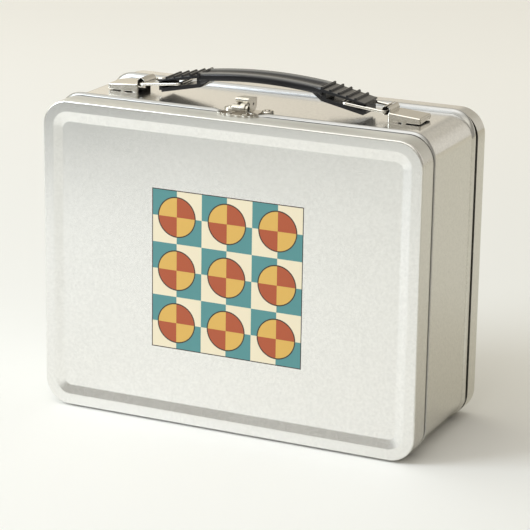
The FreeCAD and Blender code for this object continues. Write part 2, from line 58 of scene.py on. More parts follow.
# Case sizes, from the frame where it gives them
lid_low, lid_high = node_box("front_lid")
back_low, back_high = node_box("back_panel")
band_low, band_high = node_box("body_band")
HALF_WIDTH = lid_high.x
CASE_TOP = lid_high.z
FRONT_Y = lid_low.y
LID_END = lid_high.y
BACK_Y = back_high.y
BACK_START = back_low.y
CORNER_RADIUS = 14.0
TIN = 0.4
# Heights between which the sides turn into the top
TOP_FADE = (CASE_TOP - CORNER_RADIUS, CASE_TOP - 2.0)

# Pressed pans of the lid and the back: rounded edge, flat border, slope and sunken panel
EDGE_ROUND = 0.95
BORDER_WIDTH = 6.0
SLOPE_WIDTH = 5.1
RECESS_DEPTH = 1.35
CREASE_ROUND = 3.5
PANEL_CORNER = 4.2
PANEL_MARGIN = 4.0
CORNER_TIGHTENING = 0.5
LEAST_CORNER = 1.2
RIM_DRAFT = 0.05

# Band: a groove beside each rim, a bead beside each groove, and lips that tuck inside the rims
SEAM_GAP = 0.7
FRONT_GAP = 1.6
REAR_GAP = 2.05
REAR_BEAD_REACH = 0.8
BAND_INSET = 1.0
LIP_INSET = 0.5
GROOVE_DEPTH = 1.3
REAR_GROOVE_DEPTH = 2.4
GROOVE_LEAD = 0.4
WALL_RUN = 0.1
BEAD_WIDTH = 4.2
BEAD_HEIGHT = 1.0
BEAD_TOP_LIFT = 1.35
BEAD_FULLNESS = 0.8
BEAD_END_SLACK = 0.05
# Along the top the beads lie closer to the rims
FRONT_TOP_SHIFT = 0.8
REAR_TOP_SHIFT = 1.2
# The front bead stays low where the latch crosses it
LATCH_HALF = 10.0
LATCH_FADE = 6.0
# Heights between which the front bead rises from the bottom, where the lid's rim swings
BEAD_RUNOUT = (1.2, 4.5)

# Room for the two hinges along the bottom front seam
HINGE_OFFSET = 56.0
HINGE_HALF = 18.25
HINGE_CLEAR = 1.05
LID_SLOT_TOP = 0.8
BAND_SLOT_TOP = 2.4
CUT_MARGIN = 1.0

# Grip, measured from its middle: where its strap meets the pads, and from where edges are rounded
STRAP_END = 35.6
PAD_EDGE_START = 41.0
grip_low, grip_high = node_box("handle_grip")

# Small hardware, for the painted shade inside its tubes, caps and dish
cap_low, cap_high = node_box("handle_bracket_right")
pin_low, pin_high = node_box("latch_pin")
TUBE_RADIUS = 2.5
TUBE_BORE = 2.1
TUBE_X = cap_low.x + TUBE_RADIUS
TUBE_Z = cap_high.z - TUBE_RADIUS
CAP_INNER = TUBE_X + 1.35
CAP_TOP = TUBE_Z - 0.6
CAP_FALL = 0.0765
CAP_SHEET = 0.55
PIN_BORE = 0.54
DISH_HALF = 9.8
DISH_DEPTH = 3.45
DISH_MIDDLE = FRONT_Y + 12.65
DISH_TOP = CASE_TOP + 0.9

# Fineness of the meshes: steps in number, angles in degrees, a reach in millimetres
CORNER_STEPS = 14
SIDE_STEPS = 24
ROUND_STEPS = 5
BEAD_STEPS = 12
SOFT_STEPS = 2
SOFT_ANGLE = 28
SMOOTH_ANGLE = 32
FLAT_ANGLE = 0.6
MERGE_REACH = 0.0001


def smoothstep(low, high, value):
    share = min(max((value - low) / (high - low), 0), 1)
    return share * share * (3 - 2 * share)


class Signal:
    """A shader socket that takes part in Python arithmetic: each operation adds a Math node."""

    def __init__(self, shader, socket):
        self.shader = shader
        self.socket = socket

    def math(self, operation, *values):
        return self.shader.node("ShaderNodeMath", {"operation": operation}, dict(enumerate(values)))

    def __add__(self, other):
        return self.math("ADD", self, other)

    def __radd__(self, other):
        return self.math("ADD", other, self)

    def __sub__(self, other):
        return self.math("SUBTRACT", self, other)

    def __rsub__(self, other):
        return self.math("SUBTRACT", other, self)

    def __mul__(self, other):
        return self.math("MULTIPLY", self, other)

    def __rmul__(self, other):
        return self.math("MULTIPLY", other, self)

    def __truediv__(self, other):
        return self.math("DIVIDE", self, other)

    def __rtruediv__(self, other):
        return self.math("DIVIDE", other, self)

    def __lt__(self, other):
        return self.math("LESS_THAN", self, other)

    def __gt__(self, other):
        return self.math("GREATER_THAN", self, other)

    def __abs__(self):
        return self.math("ABSOLUTE", self)

    def call(self, operation, *others):
        return self.math(operation, self, *others)


class Shader:
    """Node tree of a material or a world, with one method that adds any node."""

    def __init__(self, tree):
        self.tree = tree
        tree.nodes.clear()

    def node(self, kind, settings=None, sockets=None, output=0):
        made = self.tree.nodes.new(kind)
        for name, value in (settings or {}).items():
            setattr(made, name, value)
        for key, value in (sockets or {}).items():
            if isinstance(value, Signal):
                self.tree.links.new(value.socket, made.inputs[key])
            else:
                made.inputs[key].default_value = value
        return Signal(self, made.outputs[output]) if made.outputs else None

    def mix(self, share, first, second, blend="MIX"):
        """Colour between first and second, which are sockets 6 and 7 of the node; output 2 is the result."""
        colours = {0: share}
        for key, value in ((6, first), (7, second)):
            colours[key] = value if isinstance(value, Signal) else (*value, 1)
        return self.node("ShaderNodeMix", {"data_type": "RGBA", "blend_type": blend}, colours, 2)

    def clouded(self, share, colour, tones):
        """A colour that goes from its dark to its light tone, both given as parts of it."""
        dark, light = (tuple(value * tone for value in colour) for tone in tones)
        return self.mix(share, dark, light)

    def noise(self, place, scale, detail=3.0, rough=0.5):
        """Noise between 0 and 1; scale is in cells per millimetre."""
        sockets = {"Vector": place, "Scale": scale, "Detail": detail, "Roughness": rough}
        return self.node("ShaderNodeTexNoise", sockets=sockets)

    def soft_edge(self, value, start, end):
        """Smooth step from 0 to 1 as value goes from start to end."""
        limits = {"Value": value, "From Min": start, "From Max": end}
        return self.node("ShaderNodeMapRange", {"interpolation_type": "SMOOTHSTEP"}, limits)

    def along(self, vector, direction):
        """Length of a vector along a direction."""
        sockets = {0: vector, 1: Vector(direction).normalized()}
        return self.node("ShaderNodeVectorMath", {"operation": "DOT_PRODUCT"}, sockets, "Value")

    def place(self):
        """Position on the piece at rest, in millimetres."""
        local = self.node("ShaderNodeTexCoord", output="Object")
        return self.node("ShaderNodeVectorMath", {"operation": "SCALE"}, {0: local, "Scale": 1 / MM})

    def axes(self, vector):
        split = self.node("ShaderNodeSeparateXYZ", sockets={0: vector})
        outputs = split.socket.node.outputs
        return [Signal(self, outputs[index]) for index in range(3)]

    def bump(self, height, depth):
        """Normal from a height map; depth is in millimetres."""
        sockets = {"Height": height, "Distance": depth * MM, "Strength": 1.0}
        return self.node("ShaderNodeBump", sockets=sockets)

    def surface(self, sockets):
        shaded = self.node("ShaderNodeBsdfPrincipled", sockets=sockets)
        self.node("ShaderNodeOutputMaterial", sockets={"Surface": shaded})


def new_material(name):
    material = bpy.data.materials.new(name)
    material.use_nodes = True
    return material, Shader(material.node_tree)


def spread(noise, amount):
    """Noise turned into a change of up to half of amount either way."""
    return (noise - 0.5) * amount


# Sheet steel of the case: colours, some of them painted shade, grain in cells per millimetre, and what the
# grain does to the gloss
STEEL = (0.87, 0.865, 0.85)
# Darker steel: on the lid's rim partly worn finish and partly painted shade, on the back's upper corners
# painted shade
RUBBED_AND_SHADED_STEEL = (0.64, 0.63, 0.59)
# Painted shade along the beads' tops, which dims their highlight
BEAD_PAINTED_SHADE = (0.43, 0.43, 0.428)
# Painted shade in the grooves between the band and the rims
GROOVE_PAINTED_SHADE = (0.03, 0.027, 0.023)
STEEL_CLOUD = 0.03
STEEL_MOTTLE = 0.6
STEEL_SPECKLE = 1.6
MOTTLE_SPAN = (0.35, 0.65)
MOTTLE_TONES = (0.945, 1.055)
CLOUD_ROUGH = 0.05
SPECKLE_ROUGH = 0.10
SPECKLE_DEPTH = 0.004
CASE_ROUGH = 0.17
GROOVE_ROUGH = 0.5
BEAD_ROUGH = 0.14
# Painted shade in the seams: how far it runs past the grooves' edges, and its strength where it thins out
SEAM_SHADE_OVERRUN = 0.45
FLANK_SHADE_OVERRUN = 0.5
BEAD_SHADE_FADE = 2.0
BEAD_SHADE_SHARE = 0.8
RIM_SHADE_FADE = 1.6
RIM_SHADE_SHARE = 0.6
# Heights over which things come in: painted shade on the beads' tops, the lid rim's rub with its partly
# painted shade, and painted shade on the back's rim, which also goes out again near the top
BEAD_SHADE_HEIGHTS = (CASE_TOP - 5.0, CASE_TOP - 1.0)
RIM_WEAR_AND_SHADE = (CASE_TOP - 16.0, CASE_TOP - 1.0)
BACK_SHADE_START = (CASE_TOP - 20.0, CASE_TOP - 9.0)
BACK_SHADE_END = (CASE_TOP - 1.6, CASE_TOP)
BACK_SHADE_SHARE = 0.6


def top_share(shader, z):
    """0 on the case's sides, rising round its upper corners to 1 along the top."""
    return shader.soft_edge(z, *TOP_FADE)


def seam_shade(shader, y, z):
    """Share of painted shade in the two grooves, where the metal is also duller. At the sides the painted
    shade fades out over the front bead.
    """
    top = top_share(shader, z)
    bead_start = LID_END + FRONT_GAP
    front = (y > LID_END - SEAM_SHADE_OVERRUN) * (y < bead_start + FLANK_SHADE_OVERRUN - top * FRONT_TOP_SHIFT)
    clean = shader.soft_edge(y, bead_start, bead_start + BEAD_SHADE_FADE)
    fading = (1 - clean) * (1 - top) * BEAD_SHADE_SHARE
    bead_end = BACK_START + REAR_BEAD_REACH + top * REAR_TOP_SHIFT
    rear = (y > bead_end) * (y < BACK_START + REAR_GAP + SEAM_SHADE_OVERRUN)
    return front.call("MAXIMUM", fading) + rear


def bead_mask(shader, y, z):
    """The two beads along the case's top, for the painted shade that dims their highlight and for their
    rougher finish.
    """
    front = (y > LID_END + FRONT_GAP - FRONT_TOP_SHIFT) * (y < LID_END + FRONT_GAP + BEAD_WIDTH)
    rear_end = BACK_START + REAR_BEAD_REACH
    rear = (y > rear_end - BEAD_WIDTH) * (y < rear_end + REAR_TOP_SHIFT)
    return (front + rear) * shader.soft_edge(z, *BEAD_SHADE_HEIGHTS)


def satin_steel(shader, place, rough):
    """Colour, roughness and fine grain of the case's sheet."""
    cloud = shader.noise(place, STEEL_CLOUD, detail=2.0)
    speckle = shader.noise(place, STEEL_SPECKLE, detail=4.0, rough=0.65)
    blotches = shader.noise(place, STEEL_MOTTLE, detail=4.0, rough=0.8)
    colour = shader.clouded(shader.soft_edge(blotches, *MOTTLE_SPAN), STEEL, MOTTLE_TONES)
    roughness = rough + spread(speckle, SPECKLE_ROUGH) + spread(cloud, CLOUD_ROUGH)
    normal = shader.bump(speckle, SPECKLE_DEPTH)
    return colour, roughness, normal


def case_steel():
    """Steel of the band and the back, with painted shade in the seams, along the beads' tops and on the
    back's upper corners.
    """
    material, shader = new_material("case_steel")
    place = shader.place()
    colour, roughness, normal = satin_steel(shader, place, CASE_ROUGH)
    y, z = shader.axes(place)[1:]
    # Painted shade in the grooves, fading over the front bead at the sides
    groove = seam_shade(shader, y, z)
    beads = bead_mask(shader, y, z)
    # Painted shade along the beads' tops
    colour = shader.mix(beads, colour, BEAD_PAINTED_SHADE)
    # Painted shade on the back's upper corners
    corner = shader.soft_edge(z, *BACK_SHADE_START) * (1 - shader.soft_edge(z, *BACK_SHADE_END))
    back_corner_shade = corner * (y > BACK_START + REAR_GAP) * BACK_SHADE_SHARE
    colour = shader.mix(back_corner_shade, colour, RUBBED_AND_SHADED_STEEL)
    shader.surface({
        "Base Color": shader.mix(groove, colour, GROOVE_PAINTED_SHADE),
        "Metallic": 1 - groove,
        "Roughness": roughness + groove * GROOVE_ROUGH + beads * BEAD_ROUGH,
        "Normal": normal,
    })
    return material


# Printed tiles on the lid's sunken panel: circle and its line in parts of a tile, keyline in millimetres
TILE = 14.5
TILE_COUNT = 6
TILE_CIRCLE = 0.74
CIRCLE_LINE = 0.022
KEYLINE = 0.5
INK_CREAM = (0.83, 0.74, 0.55)
INK_TEAL = (0.085, 0.27, 0.28)
INK_RUST = (0.42, 0.085, 0.03)
INK_GOLD = (0.70, 0.43, 0.10)
INK_LINE = (0.035, 0.022, 0.018)
INK_ROUGH = 0.2
# The lid's steel
LID_ROUGH = 0.22
LID_METALLIC = 0.93
RUBBED_DULLNESS = 0.5
RUBBED_ROUGH = 0.2


def tile_print(shader, x, z):
    """Colours of a square of quilt-like tiles round the lid's middle, and the mask of that square."""
    from_middle = z - CASE_TOP / 2
    across = x / TILE
    upward = from_middle / TILE
    # Mirrored tiles, so that quarter circles meet as whole ones
    fold_x = across.call("PINGPONG", 1.0)
    fold_z = upward.call("PINGPONG", 1.0)
    checker = (across.call("FLOOR") + upward.call("FLOOR")).call("PINGPONG", 1.0)
    reach = (fold_x * fold_x + fold_z * fold_z).call("SQRT")
    ground = shader.mix(checker, INK_CREAM, INK_TEAL)
    dots = shader.mix(checker, INK_RUST, INK_GOLD)
    ink = shader.mix(reach < TILE_CIRCLE, ground, dots)
    ink = shader.mix(abs(reach - TILE_CIRCLE) < CIRCLE_LINE, ink, INK_LINE)
    half = TILE * TILE_COUNT / 2
    off_centre = abs(x).call("MAXIMUM", abs(from_middle))
    ink = shader.mix(abs(off_centre - half) < KEYLINE, ink, INK_LINE)
    return ink, off_centre < half


def printed_steel():
    """The lid's steel, printed on its sunken panel.

    Its rim is duller and rougher along the top, where hands rub it; its darker colour there and on the top
    edge is partly painted shade. Towards the seam at the sides it has painted shade.
    """
    material, shader = new_material("printed_steel")
    place = shader.place()
    colour, roughness, normal = satin_steel(shader, place, LID_ROUGH)
    x, y, z = shader.axes(place)
    ink, square = tile_print(shader, x, z)
    printed = square * (y < FRONT_Y + RECESS_DEPTH + TIN / 2)
    # The top edge's rounding also takes the rub, whose darker colour there is painted shade that dims its
    # highlight
    edge = (y > FRONT_Y + EDGE_ROUND / 4) * (z > CASE_TOP - 1.5 * EDGE_ROUND)
    rim = edge.call("MAXIMUM", y > FRONT_Y + RECESS_DEPTH + TIN)
    # Rub along the top: worn, duller finish, and partly painted shade in its darker colour
    rubbed_and_shaded = shader.soft_edge(z, *RIM_WEAR_AND_SHADE) * rim
    # Painted shade on the rim towards the seam at the sides
    seam = shader.soft_edge(y, LID_END - RIM_SHADE_FADE, LID_END) * (1 - top_share(shader, z)) * RIM_SHADE_SHARE
    colour = shader.mix(rubbed_and_shaded, colour, RUBBED_AND_SHADED_STEEL)
    colour = shader.mix(seam, colour, GROOVE_PAINTED_SHADE)
    shader.surface({
        "Base Color": shader.mix(printed, colour, ink),
        "Metallic": LID_METALLIC - printed * LID_METALLIC - rubbed_and_shaded * RUBBED_DULLNESS,
        "Roughness": roughness + printed * INK_ROUGH + rubbed_and_shaded * RUBBED_ROUGH,
        "Anisotropic": 0.6,
        "Anisotropic Rotation": 0.25,
        "Normal": normal,
    })
    return material


# Worn plating of the latch and the brackets, with painted shade in its hollows
NICKEL = (0.70, 0.67, 0.61)
# Painted shade inside the keeper's dish, the brackets' caps and the bores
DISH_PAINTED_SHADE = (0.20, 0.165, 0.12)
CAP_SHADE = (0.12, 0.11, 0.095)
BORE_SHADE = (0.025, 0.02, 0.017)
NICKEL_CLOUD = 0.25
NICKEL_GRAIN = 3.0
NICKEL_TONES = (0.9, 1.06)
NICKEL_ROUGH = 0.14
NICKEL_CLOUD_ROUGH = 0.12
NICKEL_GRAIN_ROUGH = 0.06
NICKEL_GRAIN_DEPTH = 0.006
HOLLOW_DULLNESS = 0.8
HOLLOW_ROUGH = 0.3


def within(first, second, reach):
    """Mask of the points whose two offsets lie inside a circle of radius reach."""
    return (first * first + second * second) < reach * reach


def nickel_plate():
    """Worn plating, with painted shade inside the brackets' tubes and caps, the pivot and the keeper's dish,
    where it is also duller.
    """
    material, shader = new_material("nickel_plate")
    place = shader.place()
    x, y, z = shader.axes(place)
    side = abs(x)
    pivot = (pin_low + pin_high) / 2
    bore = within(side - TUBE_X, z - TUBE_Z, TUBE_BORE)
    bore = bore.call("MAXIMUM", within(y - pivot.y, z - pivot.z, PIN_BORE))
    roof = CAP_TOP - CAP_FALL * (side - CAP_INNER) - CAP_SHEET
    middle = (cap_low.y + cap_high.y) / 2
    walls = (cap_high.y - cap_low.y) / 2 - CAP_SHEET
    hollow = (z < roof) * (side > CAP_INNER) * (side < cap_high.x - CAP_SHEET) * (abs(y - middle) < walls)
    dish = within(x / DISH_HALF, (y - DISH_MIDDLE) / DISH_DEPTH, 1.0) * (z < DISH_TOP)
    cloud = shader.noise(place, NICKEL_CLOUD)
    grain = shader.noise(place, NICKEL_GRAIN)
    colour = shader.clouded(cloud, NICKEL, NICKEL_TONES)
    # Painted shade in the dish, the caps and the bores
    for mask, shade in ((dish, DISH_PAINTED_SHADE), (hollow, CAP_SHADE), (bore, BORE_SHADE)):
        colour = shader.mix(mask, colour, shade)
    dull = bore.call("MAXIMUM", hollow).call("MAXIMUM", dish)
    roughness = NICKEL_ROUGH + cloud * NICKEL_CLOUD_ROUGH + spread(grain, NICKEL_GRAIN_ROUGH)
    shader.surface({
        "Base Color": colour,
        "Metallic": 1 - dull * HOLLOW_DULLNESS,
        "Roughness": roughness + dull * HOLLOW_ROUGH,
        "Normal": shader.bump(grain, NICKEL_GRAIN_DEPTH),
    })
    return material


# Bright wire of the bails
WIRE = (0.70, 0.68, 0.64)
WIRE_TONES = (0.94, 1.0)
WIRE_GRAIN = 2.2
WIRE_ROUGH = 0.10
WIRE_GRAIN_ROUGH = 0.10
WIRE_GRAIN_DEPTH = 0.004


def drawn_wire():
    material, shader = new_material("drawn_wire")
    grain = shader.noise(shader.place(), WIRE_GRAIN)
    shader.surface({
        "Base Color": shader.clouded(grain, WIRE, WIRE_TONES),
        "Metallic": 1.0,
        "Roughness": WIRE_ROUGH + grain * WIRE_GRAIN_ROUGH,
        "Normal": shader.bump(grain, WIRE_GRAIN_DEPTH),
    })
    return material


# Duller steel of the hinges
HINGE_DARK = (0.50, 0.49, 0.47)
HINGE_LIGHT = (0.66, 0.65, 0.62)
HINGE_GRAIN = 1.4
HINGE_ROUGH = 0.26
HINGE_GRAIN_ROUGH = 0.16
HINGE_GRAIN_DEPTH = 0.008


def hinge_steel():
    material, shader = new_material("hinge_steel")
    grain = shader.noise(shader.place(), HINGE_GRAIN, detail=4.0)
    shader.surface({
        "Base Color": shader.mix(grain, HINGE_DARK, HINGE_LIGHT),
        "Metallic": 1.0,
        "Roughness": HINGE_ROUGH + grain * HINGE_GRAIN_ROUGH,
        "Normal": shader.bump(grain, HINGE_GRAIN_DEPTH),
    })
    return material


# Black plastic of the grip; the crowns lie at these distances from the strap's middle line
BLACK = (0.016, 0.016, 0.018)
# Painted sheen on the pads' upward faces and along the strap's crowns
PAD_TOP_SHEEN = (0.085, 0.082, 0.077)
CROWN_SHEEN = (0.20, 0.195, 0.185)
BLACK_TONES = (0.8, 1.3)
PLASTIC_CLOUD = 0.12
PLASTIC_GRAIN = 5.0
PLASTIC_ROUGH = 0.15
PLASTIC_CLOUD_ROUGH = 0.06
PLASTIC_GRAIN_ROUGH = 0.06
PLASTIC_GRAIN_DEPTH = 0.006
CROWN_START = (3.6, 5.4)
CROWN_END = (6.9, 8.2)
# How far a face looks up, from 0 to 1, where the painted sheen comes in
CROWN_FACING = (0.2, 0.7)
SHEEN_FACING = (0.92, 0.99)


def black_plastic():
    """Moulded plastic, with a painted sheen along the strap's two crowns and where the pads face up."""
    material, shader = new_material("black_plastic")
    place = shader.place()
    grain = shader.noise(place, PLASTIC_GRAIN)
    cloud = shader.noise(place, PLASTIC_CLOUD)
    colour = shader.clouded(cloud, BLACK, BLACK_TONES)
    facing = shader.axes(shader.node("ShaderNodeTexCoord", output="Normal"))[2]
    x, y = shader.axes(place)[:2]
    strap = abs(x) < STRAP_END
    off_middle = abs(y - (grip_low.y + grip_high.y) / 2)
    # Painted sheen along the crowns and on the pads' upward faces
    crowns = shader.soft_edge(off_middle, *CROWN_START) * (1 - shader.soft_edge(off_middle, *CROWN_END))
    crowns = strap * crowns * shader.soft_edge(facing, *CROWN_FACING)
    top_sheen = (1 - strap) * shader.soft_edge(facing, *SHEEN_FACING)
    colour = shader.mix(top_sheen, colour, PAD_TOP_SHEEN)
    shader.surface({
        "Base Color": shader.mix(crowns, colour, CROWN_SHEEN),
        "Roughness": PLASTIC_ROUGH + cloud * PLASTIC_CLOUD_ROUGH + spread(grain, PLASTIC_GRAIN_ROUGH),
        "Specular IOR Level": 0.42,
        "Normal": shader.bump(grain, PLASTIC_GRAIN_DEPTH),
    })
    return material


finishes = {
    "case_steel": case_steel(),
    "printed_steel": printed_steel(),
    "nickel_hardware": nickel_plate(),
    "bail_wire": drawn_wire(),
    "hinge_steel": hinge_steel(),
    "black_plastic": black_plastic(),
}
node_slots = {part["node"]: part["material_slot"] for part in frame["record"]["subparts"]}
node_bodies = {}
for body, members in frame["record"]["behaviour"]["bodies"].items():
    for member in members:
        node_bodies[member] = body


def bake(piece):
    """Applies a piece's modifiers to its mesh."""
    graph = bpy.context.evaluated_depsgraph_get()
    done = bpy.data.meshes.new_from_object(piece.evaluated_get(graph))
    piece.modifiers.clear()
    piece.data = done


def settle(piece, node, finish=None):
    """Shades a piece, gives it its finish and sets it on the body of the node that it stands for."""
    piece.data.shade_smooth()
    piece.data.set_sharp_from_angle(angle=math.radians(SMOOTH_ANGLE))
    # Flat faces keep their own light right up to the rounded edges
    weighted = piece.modifiers.new("weighted", "WEIGHTED_NORMAL")
    weighted.keep_sharp = True
    bake(piece)
    piece.data.materials.clear()
    piece.data.materials.append(finishes[finish or node_slots[node]])
    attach(piece, node_bodies[node])
    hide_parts(node)


def linked(name, mesh):
    """New object of a mesh, in the scene."""
    piece = bpy.data.objects.new(name, mesh)
    bpy.context.scene.collection.objects.link(piece)
    return piece


def mesh_piece(name, points, faces):
    mesh = bpy.data.meshes.new(name)
    mesh.from_pydata([Vector(point) * MM for point in points], [], faces)
    mesh.update()
    return linked(name, mesh)


def outward(piece):
    """Makes all faces of a closed mesh look outward."""
    work = bmesh.new()
    work.from_mesh(piece.data)
    bmesh.ops.recalc_face_normals(work, faces=work.faces)
    work.to_mesh(piece.data)
    work.free()


def loft(name, rings, joined=False, capped=False):
    """Skin over rings of equally many points. joined closes it from last to first, capped fills both ends."""
    count = len(rings[0])
    points = [point for ring in rings for point in ring]
    faces = []
    last = len(rings) if joined else len(rings) - 1
    for index in range(last):
        here = index * count
        there = (index + 1) % len(rings) * count
        for step in range(count):
            beside = (step + 1) % count
            faces.append((here + step, here + beside, there + beside, there + step))
    if capped:
        faces.append(tuple(range(count)))
        start = (len(rings) - 1) * count
        faces.append(tuple(range(start, start + count)))
    piece = mesh_piece(name, points, faces)
    outward(piece)
    return piece


def case_ring(inset, y, radius=None):
    """Points round the case's outline, drawn inward by inset, as (x, y, z)."""
    radius = CORNER_RADIUS - inset if radius is None else radius
    half = HALF_WIDTH - inset - radius
    low = inset + radius
    high = CASE_TOP - inset - radius
    corners = ((half, low, -90), (half, high, 0), (-half, high, 90), (-half, low, 180))
    arcs = []
    for x, z, start in corners:
        arc = []
        for step in range(CORNER_STEPS + 1):
            turn = math.radians(start + 90 * step / CORNER_STEPS)
            arc.append((x + radius * math.cos(turn), z + radius * math.sin(turn)))
        arcs.append(arc)
    ring = []
    for index, arc in enumerate(arcs):
        ring += arc
        begin, end = arc[-1], arcs[(index + 1) % len(arcs)][0]
        for step in range(1, SIDE_STEPS):
            share = step / SIDE_STEPS
            ring.append(tuple(a + (b - a) * share for a, b in zip(begin, end)))
    return [(x, y, z) for x, z in ring]


def rounded(corners):
    """Open line through (a, b, radius) corners, each rounded by an arc of its radius."""
    line = [Vector(corners[0][:2])]
    for before, corner, after in zip(corners, corners[1:], corners[2:]):
        here = Vector(corner[:2])
        back = (Vector(before[:2]) - here).normalized()
        ahead = (Vector(after[:2]) - here).normalized()
        radius = corner[2]
        half_turn = back.angle(ahead) / 2
        reach = radius / math.tan(half_turn)
        centre = here + (back + ahead).normalized() * (radius / math.sin(half_turn))
        first = here + back * reach - centre
        last = here + ahead * reach - centre
        turn = first.angle_signed(last)
        for step in range(ROUND_STEPS + 1):
            line.append(centre + Matrix.Rotation(-turn * step / ROUND_STEPS, 2) @ first)
    line.append(Vector(corners[-1][:2]))
    return line


def sheet_line(line, thickness):
    """Closed section of a sheet with line as one side; the other lies thickness to its left."""
    inner = []
    for index, point in enumerate(line):
        before = line[max(index - 1, 0)]
        after = line[min(index + 1, len(line) - 1)]
        along = (after - before).normalized()
        inner.append(point + Vector((-along.y, along.x)) * thickness)
    return line + inner[::-1]


def pressed_pan(name, rim, face_y, towards):
    """Pan with a sunken panel. face_y is its face; towards is +1 where its rim runs to +y."""
    panel = BORDER_WIDTH + SLOPE_WIDTH
    line = rounded([
        (panel + PANEL_MARGIN, RECESS_DEPTH, 0),
        (panel, RECESS_DEPTH, CREASE_ROUND),
        (BORDER_WIDTH, 0, CREASE_ROUND),
        (0, 0, EDGE_ROUND),
        (0, rim, 0),
    ])
    rings = []
    for distance, depth in sheet_line(line, -TIN):
        inset = distance + RIM_DRAFT * (1 - depth / rim)
        if distance < panel:
            radius = CORNER_RADIUS + (PANEL_CORNER - CORNER_RADIUS) * inset / panel
        else:
            radius = PANEL_CORNER - (inset - panel) * CORNER_TIGHTENING
        rings.append(case_ring(inset, face_y + towards * depth, max(radius, LEAST_CORNER)))
    return loft(name, rings, capped=True)


def bead_line(start, end):
    """Half-round bead between start and end as (y, inset, share of the bead's height)."""
    line = []
    for step in range(BEAD_STEPS + 1):
        share = step / BEAD_STEPS
        line.append((start + (end - start) * share, BAND_INSET, math.sin(math.pi * share) ** BEAD_FULLNESS))
    return line


def band_shell():
    """Deep middle ring with a bead and a dark groove along both edges, and lips that tuck inside the rims."""
    groove = BAND_INSET + GROOVE_DEPTH
    rear_groove = BAND_INSET + REAR_GROOVE_DEPTH
    bead_front = LID_END + FRONT_GAP
    bead_back = BACK_START + REAR_BEAD_REACH
    rim_back = BACK_START + REAR_GAP
    line = [
        (band_low.y, BAND_INSET, 0),
        (LID_END - GROOVE_LEAD - WALL_RUN, BAND_INSET, 0),
        (LID_END - GROOVE_LEAD, groove, 0),
        (bead_front - WALL_RUN, groove, 0),
        *bead_line(bead_front, bead_front + BEAD_WIDTH),
        *bead_line(bead_back - BEAD_WIDTH, bead_back),
        (rim_back - WALL_RUN, rear_groove, 0),
        (rim_back + GROOVE_LEAD, rear_groove, 0),
        (rim_back + GROOVE_LEAD + WALL_RUN, LIP_INSET, 0),
        (band_high.y, LIP_INSET, 0),
    ]
    rings = []
    for thickness, side in ((0, line), (TIN, line[::-1])):
        for y, inset, rise in side:
            plain = case_ring(inset + thickness, y)
            proud = case_ring(inset + thickness - BEAD_HEIGHT, y)
            ring = []
            for low, high in zip(plain, proud):
                share = rise * (smoothstep(*BEAD_RUNOUT, low[2]) if y < 0 else 1)
                top = smoothstep(*TOP_FADE, low[2])
                lift = BEAD_TOP_LIFT * share * top
                shift = 0
                if LID_END < y < 0:
                    lift *= smoothstep(LATCH_HALF, LATCH_HALF + LATCH_FADE, abs(low[0]))
                    shift = -FRONT_TOP_SHIFT * top
                elif 0 < y < bead_back + BEAD_END_SLACK:
                    shift = REAR_TOP_SHIFT * top
                x, z = (low[axis] + (high[axis] - low[axis]) * share for axis in (0, 2))
                ring.append((x, y + shift, z + lift))
            rings.append(ring)
    return loft("band_shell", rings, joined=True)


def carve(piece, boxes):
    """Cuts boxes, as pairs of corners, out of a piece."""
    for low, high in boxes:
        corners = [(x, y, z) for x in (low[0], high[0]) for y in (low[1], high[1]) for z in (low[2], high[2])]
        sides = ((0, 1, 3, 2), (4, 6, 7, 5), (0, 4, 5, 1), (2, 3, 7, 6), (0, 2, 6, 4), (1, 5, 7, 3))
        cutter = mesh_piece("cutter", corners, sides)
        outward(cutter)
        cut = piece.modifiers.new("cut", "BOOLEAN")
        cut.operation = "DIFFERENCE"
        cut.solver = "EXACT"
        cut.object = cutter
        bake(piece)
        bpy.data.objects.remove(cutter)


def hinge_slots(front, back, top):
    """Boxes round both hinges, from front to back and from below the case up to top."""
    spans = [(side * HINGE_OFFSET - HINGE_HALF, side * HINGE_OFFSET + HINGE_HALF) for side in (-1, 1)]
    return [((left, front, -CUT_MARGIN), (right, back, top)) for left, right in spans]


hinge_y = LID_END + SEAM_GAP / 2

lid_shell = pressed_pan("lid_shell", LID_END - FRONT_Y, FRONT_Y, 1)
carve(lid_shell, hinge_slots(hinge_y - HINGE_CLEAR, hinge_y, LID_SLOT_TOP))
settle(lid_shell, "front_lid", "printed_steel")

back_shell = pressed_pan("back_shell", BACK_Y - BACK_START - REAR_GAP, BACK_Y, -1)
settle(back_shell, "back_panel")

band = band_shell()
carve(band, hinge_slots(band_low.y - CUT_MARGIN, hinge_y + HINGE_CLEAR, BAND_SLOT_TOP))
settle(band, "body_band")


def softened(node, name, width, beyond=0):
    """Copy of a node's mesh with its sharp edges rounded by width, or left where width is 0.

    Edges that come nearer than beyond to the object's middle stay sharp.
    """
    mesh = frame["nodes"][node].data.copy()
    mesh.name = name
    work = bmesh.new()
    work.from_mesh(mesh)
    bmesh.ops.remove_doubles(work, verts=work.verts, dist=MERGE_REACH * MM)
    bmesh.ops.dissolve_limit(work, angle_limit=math.radians(FLAT_ANGLE), verts=work.verts, edges=work.edges)
    if width:
        least = math.radians(SOFT_ANGLE)
        sharp = [edge for edge in work.edges if edge.is_manifold and edge.calc_face_angle() > least]
        sharp = [edge for edge in sharp if min(abs(point.co.x) for point in edge.verts) >= beyond * MM]
        bmesh.ops.bevel(work, geom=sharp, offset=width * MM, offset_type="OFFSET", segments=SOFT_STEPS,
                        profile=0.5, affect="EDGES", clamp_overlap=False, loop_slide=True)
    bmesh.ops.recalc_face_normals(work, faces=work.faces)
    work.to_mesh(mesh)
    work.free()
    settle(linked(name, mesh), node)


